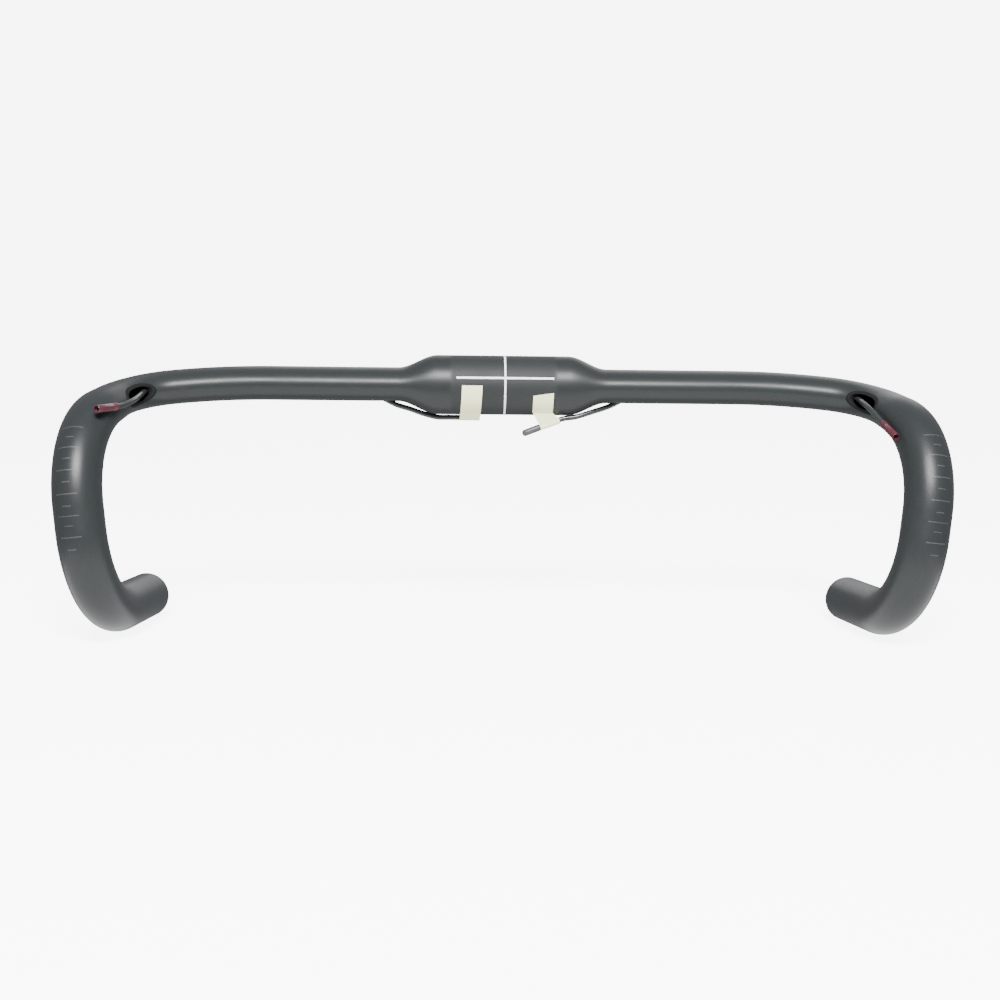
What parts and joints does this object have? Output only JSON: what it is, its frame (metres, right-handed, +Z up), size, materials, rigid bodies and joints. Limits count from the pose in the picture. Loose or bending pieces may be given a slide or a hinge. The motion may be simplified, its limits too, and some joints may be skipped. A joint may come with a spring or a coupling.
{
  "type": "drop handlebar",
  "caption": "Carbon drop handlebar with a round stem clamp, flattened tops, shallow hooks, internal cable ports and two cable liners taped at the middle.",
  "frame": {"origin": "middle of the stem clamp, on its axis", "axes": "+X along the tops to the right as seen from the front, -Y forward towards the hooks, +Z up with the tops level"},
  "size_m": [0.4402, 0.11, 0.1439],
  "materials": {
    "satin_carbon": "satin lacquer over carbon fibre",
    "raw_carbon": "bare moulded carbon fibre",
    "grommet_rubber": "smooth",
    "liner_nylon": "glossy extruded tube",
    "red_plastic": "semi-gloss, slightly see-through red",
    "grey_plastic": "satin grey",
    "masking_tape": "creped paper tape",
    "white_print": "printed ink under lacquer",
    "grey_print": "printed ink under lacquer"
  },
  "bodies": {
    "root": {"centre_section": "satin_carbon", "left_drop": "satin_carbon", "right_drop": "satin_carbon", "left_splice": "raw_carbon", "right_splice": "raw_carbon", "left_port_grommet": "grommet_rubber", "right_port_grommet": "grommet_rubber", "left_liner": "liner_nylon", "right_liner": "liner_nylon", "left_tape": "masking_tape", "right_tape": "masking_tape", "centre_mark": "white_print", "angle_mark": "white_print", "left_lever_scale": "grey_print", "right_lever_scale": "grey_print"},
    "left_red": {"left_red_sleeve": "red_plastic"},
    "right_red": {"right_red_sleeve": "red_plastic"},
    "right_tip": {"right_tip_sleeve": "grey_plastic"}
  },
  "joints": [
    {"name": "left_red_sleeve_slide", "type": "slide", "parent": "root", "child": "left_red", "axis": [-0.4306, -0.9016, -0.0404], "range_m": [0, 0.012]},
    {"name": "right_red_sleeve_slide", "type": "slide", "parent": "root", "child": "right_red", "axis": [0.1758, -0.9059, -0.3853], "range_m": [0, 0.012]},
    {"name": "right_tip_sleeve_slide", "type": "slide", "parent": "root", "child": "right_tip", "axis": [-0.9326, 0, -0.3609], "range_m": [0, 0.008]}
  ]
}
